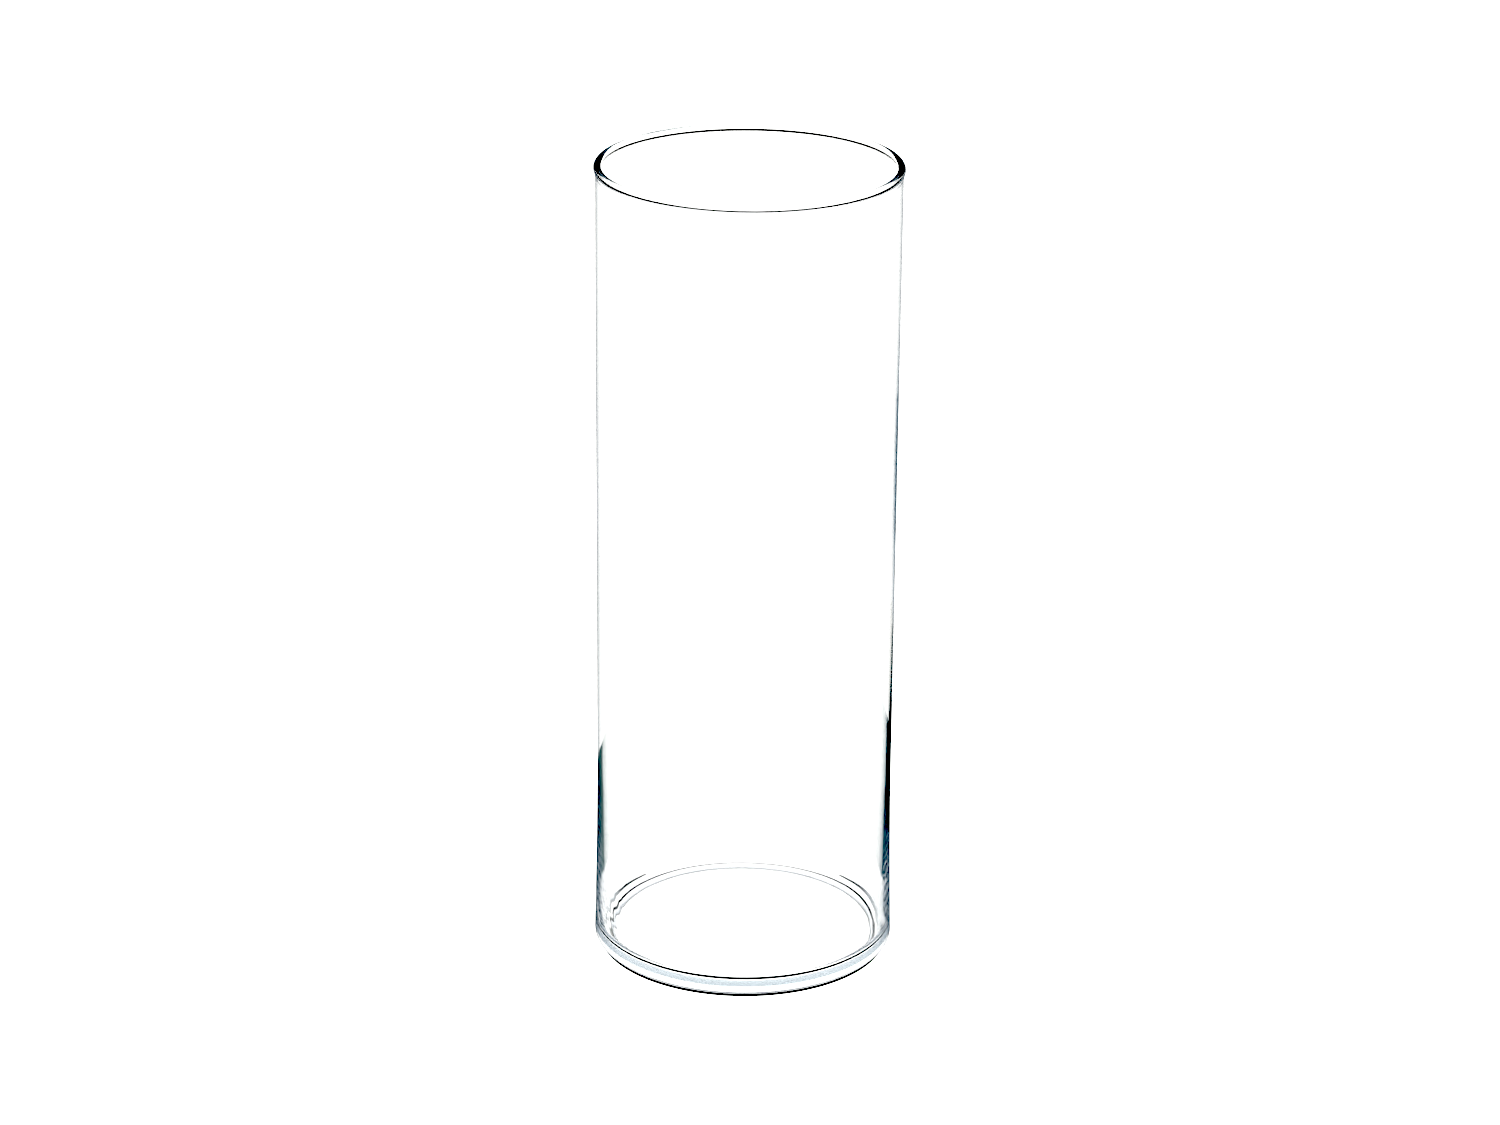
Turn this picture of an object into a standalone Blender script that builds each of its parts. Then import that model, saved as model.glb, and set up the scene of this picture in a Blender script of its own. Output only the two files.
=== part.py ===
# A clear glass cylinder vase for cut flowers, in metres, with +Z up.
# It stands on z = 0, with its axis along Z.
#
# The real vase is one piece of glass with three differently worked stretches:
# the heavy base that the gather of glass leaves, the thin wall drawn up from it,
# and the bead that fire polishing leaves round the mouth.
# Each stretch is one turned solid here, with a hairline gap to its neighbour.

import math

import bpy

# Overall size
HEIGHT = 0.406
BODY_RADIUS = 0.0737
WALL_INNER_RADIUS = 0.0713

# Mouth
BEAD_RADIUS = 0.0019
BEAD_RING_RADIUS = 0.0727
BEAD_CUT_BELOW_CENTRE = 0.0013

# Foot of the wall, which swells a little towards the heel
FLARE = 0.0016
FLARE_HEIGHT = 0.070
FLARE_POWER = 1.5
INNER_CORNER_RADIUS = 0.005

# Base
FLOOR_HEIGHT = 0.0065
WALL_SEAT_DEPTH = 0.0006
HEEL_RADIUS = 0.0046
FOOT_RING_RADIUS = 0.0682
FOOT_SLOPE = 0.0032
HOLLOW_DEPTH = 0.0035

# Modelling
GAP = 0.0003
TURN_STEPS = 72
MERGE = 0.00001


def remove_everything():
    for thing in list(bpy.data.objects):
        bpy.data.objects.remove(thing, do_unlink=True)


def outer_radius(z):
    # The wall is straight above the flare and swells by FLARE down to the heel.
    above_heel = (z - HEEL_RADIUS) / FLARE_HEIGHT
    share = min(max(1.0 - above_heel, 0.0), 1.0)
    return BODY_RADIUS + FLARE * share**FLARE_POWER


def arc(centre_r, centre_z, radius, start, end, steps):
    # Points of a circular arc in the (r, z) plane. Angles are in degrees from +r towards +z.
    points = []
    for i in range(steps + 1):
        angle = math.radians(start + (end - start) * i / steps)
        point = (centre_r + radius * math.cos(angle), centre_z + radius * math.sin(angle))
        points.append(point)
    return points


def turned(name, outline, closed, material):
    # Spins an (r, z) outline, drawn at +X and running down its outer side, into a solid of revolution.
    mesh = bpy.data.meshes.new(name)
    vertices = [(r, 0.0, z) for r, z in outline]
    edges = [(i, i + 1) for i in range(len(outline) - 1)]
    if closed:
        edges.append((len(outline) - 1, 0))
    mesh.from_pydata(vertices, edges, [])
    mesh.materials.append(material)
    solid = bpy.data.objects.new(name, mesh)
    bpy.context.scene.collection.objects.link(solid)
    screw = solid.modifiers.new("turn", "SCREW")
    screw.axis = "Z"
    screw.angle = math.tau
    screw.steps = TURN_STEPS
    screw.render_steps = TURN_STEPS
    screw.use_smooth_shade = True
    screw.use_merge_vertices = True
    screw.merge_threshold = MERGE
    return solid


def clear_glass(name, colour, roughness):
    material = bpy.data.materials.new(name)
    material.use_nodes = True
    shader = material.node_tree.nodes["Principled BSDF"]
    shader.inputs["Base Color"].default_value = (*colour, 1.0)
    shader.inputs["Metallic"].default_value = 0.0
    shader.inputs["Roughness"].default_value = roughness
    shader.inputs["IOR"].default_value = 1.52
    shader.inputs["Transmission Weight"].default_value = 1.0
    return material


def fire_polished_glass():
    return clear_glass("fire_polished_glass", (0.96, 0.98, 0.97), 0.0)


def blown_wall_glass():
    return clear_glass("blown_wall_glass", (0.97, 0.99, 0.98), 0.01)


def heavy_base_glass():
    return clear_glass("heavy_base_glass", (0.90, 0.96, 0.93), 0.02)


def rim_bead():
    # A round bead, cut flat underneath where it joins the wall.
    centre_z = HEIGHT - BEAD_RADIUS
    cut = math.degrees(math.asin(BEAD_CUT_BELOW_CENTRE / BEAD_RADIUS))
    outline = arc(BEAD_RING_RADIUS, centre_z, BEAD_RADIUS, 180.0 + cut, -cut, 12)
    return turned("rim_bead", outline, True, fire_polished_glass())


def cylinder_wall():
    # A thin tube. Its inner face turns into the floor through a rounded corner.
    top = HEIGHT - BEAD_RADIUS - BEAD_CUT_BELOW_CENTRE - GAP
    bottom = FLOOR_HEIGHT - WALL_SEAT_DEPTH + GAP
    flare_top = HEEL_RADIUS + FLARE_HEIGHT
    outline = [(BODY_RADIUS, top)]
    flare_steps = 4
    for i in range(flare_steps + 1):
        z = flare_top + (bottom - flare_top) * i / flare_steps
        outline.append((outer_radius(z), z))
    corner_r = WALL_INNER_RADIUS - INNER_CORNER_RADIUS
    corner_z = FLOOR_HEIGHT + INNER_CORNER_RADIUS
    outline.append((corner_r, bottom))
    outline += arc(corner_r, corner_z, INNER_CORNER_RADIUS, -90.0, 0.0, 4)
    outline.append((WALL_INNER_RADIUS, top))
    return turned("cylinder_wall", outline, True, blown_wall_glass())


def base():
    # A flat floor, a shallow seat round it that carries the wall, a rounded heel, and a narrow
    # ring to stand on round a hollow underside.
    floor_r = WALL_INNER_RADIUS - INNER_CORNER_RADIUS - GAP
    seat_z = FLOOR_HEIGHT - WALL_SEAT_DEPTH
    heel_r = outer_radius(HEEL_RADIUS) - HEEL_RADIUS
    outline = [(0.0, FLOOR_HEIGHT), (floor_r, FLOOR_HEIGHT)]
    outline += [(floor_r, seat_z), (outer_radius(seat_z), seat_z)]
    outline += arc(heel_r, HEEL_RADIUS, HEEL_RADIUS, 0.0, -90.0, 6)
    outline.append((FOOT_RING_RADIUS, 0.0))
    outline += [(FOOT_RING_RADIUS - FOOT_SLOPE, HOLLOW_DEPTH), (0.0, HOLLOW_DEPTH)]
    return turned("base", outline, False, heavy_base_glass())


remove_everything()
rim_bead()
cylinder_wall()
base()
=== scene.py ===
import math

import bpy
from mathutils import Matrix, Vector, noise


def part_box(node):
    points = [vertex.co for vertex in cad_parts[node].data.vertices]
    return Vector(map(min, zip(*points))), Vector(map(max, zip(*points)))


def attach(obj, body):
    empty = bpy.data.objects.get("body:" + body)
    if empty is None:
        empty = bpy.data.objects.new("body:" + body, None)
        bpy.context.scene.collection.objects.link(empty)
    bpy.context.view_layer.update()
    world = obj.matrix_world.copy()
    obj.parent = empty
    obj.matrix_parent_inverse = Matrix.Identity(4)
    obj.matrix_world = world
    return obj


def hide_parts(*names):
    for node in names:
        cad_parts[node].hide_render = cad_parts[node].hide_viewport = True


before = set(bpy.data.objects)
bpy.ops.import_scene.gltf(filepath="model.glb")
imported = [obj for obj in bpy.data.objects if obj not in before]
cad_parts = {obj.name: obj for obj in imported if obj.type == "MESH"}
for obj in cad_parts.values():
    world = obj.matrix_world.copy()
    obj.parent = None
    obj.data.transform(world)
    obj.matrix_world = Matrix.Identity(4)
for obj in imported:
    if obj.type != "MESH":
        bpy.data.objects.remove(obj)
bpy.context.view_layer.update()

mm = 0.001  # one millimetre in scene units
print("frame loaded: clear glass cylinder vase")


def hexToLinear(code):
    # sRGB hex to the linear colour that shaders work in
    channels = []
    for i in (0, 2, 4):
        value = int(code[i:i + 2], 16) / 255
        if value <= 0.04045:
            channels.append(value / 12.92)
        else:
            channels.append(((value + 0.055) / 1.055) ** 2.4)
    return (*channels, 1.0)


def addNode(tree, kind, settings=None, links=None):
    # one shader node: settings are attributes or input values, links are (input, source socket)
    node = tree.nodes.new(kind)
    for key, value in (settings or {}).items():
        if isinstance(key, str) and hasattr(node, key):
            setattr(node, key, value)
        else:
            node.inputs[key].default_value = value
    for key, source in (links or {}).items():
        tree.links.new(source, node.inputs[key])
    return node


def newMaterial(name):
    material = bpy.data.materials.new(name)
    material.use_nodes = True
    material.node_tree.nodes.clear()
    return material


def newObject(name, vertices, faces):
    mesh = bpy.data.meshes.new(name)
    mesh.from_pydata(vertices, [], faces)
    mesh.validate()
    made = bpy.data.objects.new(name, mesh)
    bpy.context.scene.collection.objects.link(made)
    return made


vase = {  # sizes in mm
    "turnSteps": 432,
    "beadRadius": 1.9,
    "beadStart": -39,  # degrees: where the bead leaves the outside of the wall
    "beadEnd": 225,  # and where it meets the inside
    "outerNeck": 4.8,  # length over which the wall runs into the bead
    "innerNeck": 2.9,
    "innerTop": 71.3,  # inner radius of the drawn wall
    "innerLow": 71.08,  # and at the foot, where the wall thickens
    "innerSwellHeight": 40.0,
    "flare": 1.6,  # the outside swells by this much down to the heel
    "flareHeight": 90.0,
    "flarePower": 1.5,
    "heelWidth": 5.65,
    "heelHeight": 4.4,
    "cornerWidth": 5.5,  # inside corner between wall and floor
    "cornerHeight": 6.4,
    "floorCrown": 1.4,  # the floor is this much higher in the middle
    "footRing": 69.6,  # inner radius of the narrow ring that the vase stands on
    "footSlope": 1.26,  # width over which the ring rises to the hollow inside it
    "hollow": 3.67,  # depth of that hollow
    "hollowCrown": 0.1,
    "hollowRings": 8,  # rings of points in each stretch of the section
    "footRings": 14,
    "cornerRings": 20,
    "beadRings": 40,
    "neckRings": 8,
    "floorRings": 16,
    "fineStep": 1.0,  # rings of the wall are this far apart low down, where the cords are
    "fineBelow": 90.0,
    "coarseStep": 6.0,  # and this far apart above
    "sway": 0.10,  # slow wander of the whole wall
    "swayHeight": 130.0,
    "swayTurns": 1.3,  # how quickly it changes round the vase
    "swayInside": 2.3,  # radians that the wander of the inside is turned from the outside's
    "cordDepth": 0.10,  # slanting cords low on the inside of the wall
    "cordWidth": 5.5,
    "cordLength": 30.0,
    "cordMiddle": 12.0,  # height at which the cords are deepest
    "cordHeight": 20.0,
    "cordShareAllRound": 0.15,  # the rest of their depth is at the two sides
    "cordSidePower": 3,
    "stillInside": 55.0,  # nothing wanders inside this radius
    "stillEdge": 15.0,  # and the wander grows over this width outside it
    "stillHeight": 8.0,  # and over this height above the table
}


def arcPoints(centreR, centreZ, width, height, start, end, steps):
    points = []
    for i in range(steps + 1):
        angle = math.radians(start + (end - start) * i / steps)
        points.append((centreR + width * math.cos(angle), centreZ + height * math.sin(angle)))
    return points


def smooth(t):
    t = min(max(t, 0.0), 1.0)
    return t * t * (3 - 2 * t)


def swell(z, foot, height, amount):
    # how much wider the wall is at z than far above its foot
    return amount * max(1 - (z - foot) / height, 0) ** vase["flarePower"]


def wallHeights(low, high):
    heights = []
    z = low
    while z < high - vase["fineStep"]:
        heights.append(z)
        z += vase["fineStep"] if z < vase["fineBelow"] else vase["coarseStep"]
    return heights + [high]


def glassOutline():
    # the section of the glass in mm, from the axis under the base, up the outside, over the bead,
    # down the inside and back to the axis on the floor
    s = vase
    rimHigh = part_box("rim_bead")[1]
    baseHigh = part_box("base")[1]
    beadZ = rimHigh.z / mm - s["beadRadius"]
    beadRing = rimHigh.x / mm - s["beadRadius"]
    heelOuter = baseHigh.x / mm
    floorHeight = baseHigh.z / mm
    bodyOuter = heelOuter - s["flare"]
    heelR = heelOuter - s["heelWidth"]

    points = []
    hollowR = s["footRing"] - s["footSlope"]
    for i in range(s["hollowRings"]):
        t = i / s["hollowRings"]
        points.append((hollowR * t, s["hollow"] + s["hollowCrown"] * (1 - t**2)))
    for i in range(s["footRings"] + 1):
        t = i / s["footRings"]
        points.append((hollowR + s["footSlope"] * t, s["hollow"] * (1 - smooth(t))))
    points += arcPoints(
        heelR, s["heelHeight"], s["heelWidth"], s["heelHeight"], -90, 0, s["cornerRings"]
    )
    wallTop = beadZ - s["outerNeck"]
    for z in wallHeights(s["heelHeight"], wallTop)[1:]:
        points.append((bodyOuter + swell(z, s["heelHeight"], s["flareHeight"], s["flare"]), z))
    bead = arcPoints(
        beadRing, beadZ, s["beadRadius"], s["beadRadius"], s["beadStart"], s["beadEnd"], s["beadRings"]
    )
    for i in range(1, s["neckRings"]):
        t = i / s["neckRings"]
        r = bodyOuter + (bead[0][0] - bodyOuter) * smooth(t)
        points.append((r, wallTop + (bead[0][1] - wallTop) * t))
    points += bead
    innerTop = beadZ - s["innerNeck"]
    for i in range(1, s["neckRings"]):
        t = i / s["neckRings"]
        r = bead[-1][0] + (s["innerTop"] - bead[-1][0]) * smooth(t)
        points.append((r, bead[-1][1] + (innerTop - bead[-1][1]) * t))
    cornerZ = floorHeight + s["cornerHeight"]
    extra = s["innerLow"] - s["innerTop"]
    for z in reversed(wallHeights(cornerZ, innerTop)[1:]):
        points.append((s["innerTop"] + swell(z, cornerZ, s["innerSwellHeight"], extra), z))
    floorR = s["innerLow"] - s["cornerWidth"]
    points += arcPoints(
        floorR, cornerZ, s["cornerWidth"], s["cornerHeight"], 0, -90, s["cornerRings"]
    )
    for i in range(1, s["floorRings"] + 1):
        r = floorR * (1 - i / s["floorRings"])
        points.append((r, floorHeight + s["floorCrown"] * (1 - (r / floorR) ** 2)))
    return points


def cordAt(angle, z):
    # cords slant round the wall where the gather was turned, and fade out upwards
    s = vase
    turned = angle + z / s["innerTop"]
    k = s["innerTop"] / s["cordWidth"]
    place = Vector((k * math.cos(turned), k * math.sin(turned), z / s["cordLength"]))
    across = noise.noise(place)
    fade = math.exp(-((z - s["cordMiddle"]) / s["cordHeight"]) ** 2)
    allRound = s["cordShareAllRound"]
    sides = allRound + (1 - allRound) * abs(math.cos(angle)) ** s["cordSidePower"]
    return s["cordDepth"] * fade * sides * across


def swayAt(angle, z):
    k = vase["swayTurns"]
    place = Vector((math.cos(angle) * k, math.sin(angle) * k, z / vase["swayHeight"]))
    return vase["sway"] * noise.noise(place)


def glassBody():
    outline = glassOutline()
    steps = vase["turnSteps"]
    crown = max(range(len(outline)), key=lambda i: outline[i][1])
    vertices = [(0.0, 0.0, outline[0][1] * mm)]
    rings = outline[1:-1]
    for k, (r, z) in enumerate(rings):
        inside = k + 1 > crown
        moves = smooth((r - vase["stillInside"]) / vase["stillEdge"]) * smooth(z / vase["stillHeight"])
        for i in range(steps):
            angle = math.tau * i / steps
            if inside:
                moved = r + moves * (swayAt(angle + vase["swayInside"], z) + cordAt(angle, z))
            else:
                moved = r + moves * swayAt(angle, z)
            vertices.append((moved * math.cos(angle) * mm, moved * math.sin(angle) * mm, z * mm))
    vertices.append((0.0, 0.0, outline[-1][1] * mm))
    faces = []
    for i in range(steps):
        faces.append((0, 1 + (i + 1) % steps, 1 + i))
    for k in range(len(rings) - 1):
        low = 1 + k * steps
        high = low + steps
        for i in range(steps):
            j = (i + 1) % steps
            faces.append((low + i, low + j, high + j, high + i))
    last = 1 + (len(rings) - 1) * steps
    top = len(vertices) - 1
    for i in range(steps):
        faces.append((last + i, last + (i + 1) % steps, top))
    glass = newObject("vase_glass", vertices, faces)
    glass.data.shade_smooth()
    return glass


blownGlass = {
    "ior": 1.52,
    "roughness": 0.0,
    "tint": "ccd4d9",  # blue-grey that thick glass goes towards
    "tintDensity": 8.0,  # 1/m, how fast it does
    "waveWidth": 1000 / 9,  # mm, faint waves in the skin of the glass, nine to the metre
    "waveDetail": 2.0,
    "waveStrength": 0.02,
    "waveDepth": 1.0,  # mm
}


def blownSodaLimeGlass():
    # Soda-lime glass, blown and fire polished: clear face on, and blue-grey only where light runs
    # a long way inside it, at the heel and along the edges of the wall.
    material = newMaterial("blown_soda_lime_glass")
    tree = material.node_tree
    place = addNode(tree, "ShaderNodeTexCoord")
    waves = addNode(
        tree,
        "ShaderNodeTexNoise",
        {"Scale": 1 / (blownGlass["waveWidth"] * mm), "Detail": blownGlass["waveDetail"]},
        {"Vector": place.outputs["Object"]},
    )
    bump = addNode(
        tree,
        "ShaderNodeBump",
        {"Strength": blownGlass["waveStrength"], "Distance": blownGlass["waveDepth"] * mm},
        {"Height": waves.outputs["Fac"]},
    )
    glass = addNode(
        tree,
        "ShaderNodeBsdfPrincipled",
        {
            "Base Color": (1, 1, 1, 1),
            "Roughness": blownGlass["roughness"],
            "IOR": blownGlass["ior"],
            "Transmission Weight": 1.0,
        },
        {"Normal": bump.outputs["Normal"]},
    )
    clear = addNode(tree, "ShaderNodeBsdfTransparent")
    path = addNode(tree, "ShaderNodeLightPath")
    passes = addNode(
        tree,
        "ShaderNodeMath",
        {"operation": "MAXIMUM"},
        {0: path.outputs["Is Shadow Ray"], 1: path.outputs["Is Diffuse Ray"]},
    )
    mix = addNode(
        tree, "ShaderNodeMixShader", {}, {0: passes.outputs[0], 1: glass.outputs[0], 2: clear.outputs[0]}
    )
    tint = addNode(
        tree,
        "ShaderNodeVolumeAbsorption",
        {"Color": hexToLinear(blownGlass["tint"]), "Density": blownGlass["tintDensity"]},
    )
    addNode(
        tree, "ShaderNodeOutputMaterial", {}, {"Surface": mix.outputs[0], "Volume": tint.outputs[0]}
    )
    return material


glass = glassBody()
glass.data.materials.append(blownSodaLimeGlass())
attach(glass, "root")
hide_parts("rim_bead", "cylinder_wall", "base")
print("glass made")

studio = {
    "floorSize": 30.0,  # m
    "floorLevel": -0.0002,  # just under the vase, so that no two faces share a plane
    "mirrorLevel": -0.00015,
    "boardLevel": -0.0001,
    "floorColour": "f6f6f4",
    "roomLight": 1.34,  # light on the matt floor from all round
    "roomSeen": 1.0,  # what the camera sees above the floor's edge
    "roomInGlass": 1.1,  # and what the glass sees there
    "flagRadius": 0.2,  # m, black cloth hung round the vase, just above its rim
    "flagLow": 0.406,
    "flagHigh": 0.47,
    "flagColour": "050505",
    "contactShadowInner": 0.0687,  # m, painted contact shadow: a dark ring painted on the floor where the foot ring meets it
    "contactShadowOuter": 0.0731,
    "contactShadowColour": "0c1010",
    "paintedFloorReflection": "50565e",  # painted reflection: the floor is painted this dark where the glass reflects it, though it is lit white
    "bandSteps": 144,  # flat faces round each band
    "bounces": 160,  # of light inside the glass
    "clearBounces": 16,
    "wallCrossings": 2,  # surfaces that light crosses when it stays inside the wall
    "sideRadius": 0.0712,  # m, where light leaves the vase's side
    "viewSpread": 0.037,  # how fast lines of sight past the vase spread
    "blackPoint": 0.25,  # levels: darker than this turns black
    "whitePoint": 0.80,  # and lighter than this turns white
}


def mattPaint(name, colour):
    # matt paint on board: even and without any gloss
    material = newMaterial(name)
    tree = material.node_tree
    board = addNode(tree, "ShaderNodeBsdfDiffuse", {"Color": hexToLinear(colour)})
    addNode(tree, "ShaderNodeOutputMaterial", {}, {"Surface": board.outputs[0]})
    return material


def paintSeenThroughWall(name, colour):
    # matt paint met only by light that crosses no more surfaces of the glass than when it stays inside
    # the wall: painted shade that darkens the edges and keeps out of the middle of the vase
    material = mattPaint(name, colour)
    tree = material.node_tree
    board = tree.nodes["Diffuse BSDF"]
    finish = tree.nodes["Material Output"]
    clear = addNode(tree, "ShaderNodeBsdfTransparent")
    path = addNode(tree, "ShaderNodeLightPath")
    through = addNode(
        tree,
        "ShaderNodeMath",
        {"operation": "GREATER_THAN", 1: studio["wallCrossings"] + 0.5},
        {0: path.outputs["Transmission Depth"]},
    )
    mix = addNode(
        tree, "ShaderNodeMixShader", {}, {0: through.outputs[0], 1: board.outputs[0], 2: clear.outputs[0]}
    )
    tree.links.new(mix.outputs[0], finish.inputs["Surface"])
    return material


def squareAt(z):
    # the four corners of the whole floor, at height z
    half = studio["floorSize"] / 2
    return [(-half, -half, z), (half, -half, z), (half, half, z), (-half, half, z)]


def paleFloor():
    floor = newObject("floor", squareAt(studio["floorLevel"]), [(0, 1, 2, 3)])
    floor.data.materials.append(mattPaint("matt_white_board", studio["floorColour"]))


def darkCard(name, vertices, faces, colour, rays):
    # a dark card that only the given rays meet, such as reflections in the glass
    card = newObject(name, vertices, faces)
    paint = paintSeenThroughWall if rays == ("transmission",) else mattPaint
    card.data.materials.append(paint(name + "_paint", colour))
    card.visible_camera = "camera" in rays
    card.visible_glossy = "glossy" in rays
    card.visible_transmission = "transmission" in rays
    card.visible_diffuse = False
    card.visible_shadow = False


def darkBand(name, lowR, lowZ, highR, highZ, colour, rays):
    # a band turned about the vase's axis
    steps = studio["bandSteps"]
    vertices = []
    for i in range(steps):
        angle = math.tau * i / steps
        for r, z in ((lowR, lowZ), (highR, highZ)):
            vertices.append((r * math.sin(angle), r * math.cos(angle), z))
    count = len(vertices)
    faces = [(i, (i + 2) % count, (i + 3) % count, i + 1) for i in range(0, count, 2)]
    darkCard(name, vertices, faces, colour, rays)


paintedShadeCards = {  # painted shade on the floor behind the vase: dark cards that stand in for its shadow there, met only through its edges (painted shadow) or mirrored in them (painted reflection)
    "right_painted_shadow": {
        "side": 1,
        "colour": "6e7a7d",
        "rays": ("transmission",),
        "inner": [(0.045, -4), (0.42, -4)],  # (m behind, degrees outward)
        "outer": [(0.42, 10), (0.26, 20), (0.2, 60), (0.045, 60)],
    },
    "left_painted_shadow": {
        "side": -1,
        "colour": "8c9491",
        "rays": ("transmission",),
        "inner": [(0.05, -4), (0.2, -4)],
        "outer": [(0.22, 14), (0.17, 60), (0.05, 60)],
    },
    "right_painted_reflection": {
        "side": 1,
        "colour": "060a0c",
        "rays": ("glossy",),
        "inner": [(0.12, -6), (0.42, -3)],
        "outer": [(0.42, 30), (0.12, 30)],
    },
}


def besideVase(side, away, degrees):
    # the floor point that light reaches when it leaves the vase's side turned outward by so much
    spread = math.tan(math.radians(degrees)) + studio["viewSpread"]
    return (side * (studio["sideRadius"] + away * spread), away, studio["boardLevel"])


def placePaintedShadeCards():
    for name, board in paintedShadeCards.items():
        corners = [besideVase(board["side"], *place) for place in board["inner"] + board["outer"]]
        darkCard(name, corners, [tuple(range(len(corners)))], board["colour"], board["rays"])


def darkStudio():
    # clear glass on white is drawn by the dark things that its edges bend or mirror into view
    s = studio
    glassRays = ("glossy", "transmission")
    allRays = ("camera", "glossy", "transmission")
    level = s["boardLevel"]
    away = s["flagRadius"]
    darkBand("rim_flag", away, s["flagLow"], away, s["flagHigh"], s["flagColour"], glassRays)
    # painted contact shadow: a dark ring on the floor under the heel, seen by the camera as well as
    # through the glass
    darkBand(
        "contact_shadow", s["contactShadowInner"], level, s["contactShadowOuter"], level, s["contactShadowColour"], allRays
    )
    # painted reflection: a dark floor that only reflections in the glass meet; the camera and the light
    # see the white floor
    whole = squareAt(s["mirrorLevel"])
    darkCard("painted_floor_reflection", whole, [(0, 1, 2, 3)], s["paintedFloorReflection"], ("glossy",))
    # painted shadow and painted reflection cards on the floor behind the vase
    placePaintedShadeCards()


def studioLight():
    # The floor is lit evenly from all round, and the room is white down to the floor.
    world = bpy.data.worlds.new("studio")
    bpy.context.scene.world = world
    world.use_nodes = True
    tree = world.node_tree
    tree.nodes.clear()
    seen = addNode(tree, "ShaderNodeLightPath")
    inGlass = addNode(
        tree,
        "ShaderNodeMath",
        {"operation": "MAXIMUM"},
        {0: seen.outputs["Is Glossy Ray"], 1: seen.outputs["Is Transmission Ray"]},
    )
    room = addNode(
        tree,
        "ShaderNodeMix",
        {"data_type": "FLOAT", 2: studio["roomLight"], 3: studio["roomInGlass"]},
        {"Factor": inGlass.outputs[0]},
    )
    strength = addNode(
        tree,
        "ShaderNodeMix",
        {"data_type": "FLOAT", 3: studio["roomSeen"]},
        {"Factor": seen.outputs["Is Camera Ray"], 2: room.outputs[0]},
    )
    sky = addNode(
        tree, "ShaderNodeBackground", {"Color": (1, 1, 1, 1)}, {"Strength": strength.outputs[0]}
    )
    addNode(tree, "ShaderNodeOutputWorld", {}, {"Surface": sky.outputs[0]})


def lightBounces():
    # light runs a long way inside the heavy base before it comes out
    cycles = bpy.context.scene.cycles
    cycles.max_bounces = studio["bounces"]
    cycles.glossy_bounces = studio["bounces"]
    cycles.transmission_bounces = studio["bounces"]
    cycles.transparent_max_bounces = studio["clearBounces"]


lightBounces()
paleFloor()
studioLight()
darkStudio()

camera = {
    "distance": 1.9458,  # m, level distance from the vase's axis
    "height": 0.9487,  # m above the table
    "lens": 101.15,  # mm
    "sensor": 36.0,
    "tiltDown": 20.995,  # degrees
    "turn": 0.059,
    "roll": 0.547,
}


def lookAtVase():
    data = bpy.data.cameras.new("camera")
    data.lens = camera["lens"]
    data.sensor_width = camera["sensor"]
    seat = bpy.data.objects.new("camera", data)
    turn = Matrix.Rotation(math.radians(-camera["turn"]), 4, "Z")
    tilt = Matrix.Rotation(math.radians(90 - camera["tiltDown"]), 4, "X")
    roll = Matrix.Rotation(math.radians(camera["roll"]), 4, "Z")
    place = Matrix.Translation((0, -camera["distance"], camera["height"]))
    seat.matrix_world = place @ turn @ tilt @ roll
    bpy.context.scene.collection.objects.link(seat)
    bpy.context.scene.camera = seat


lookAtVase()


def crispPrint():
    # greys near black or white go all the way there, which makes the glass's thin lines crisp
    view = bpy.context.scene.view_settings
    view.view_transform = "Standard"
    view.use_curve_mapping = True
    view.curve_mapping.black_level = [studio["blackPoint"]] * 3
    view.curve_mapping.white_level = [studio["whitePoint"]] * 3
    view.curve_mapping.update()


crispPrint()
print("studio and camera set")
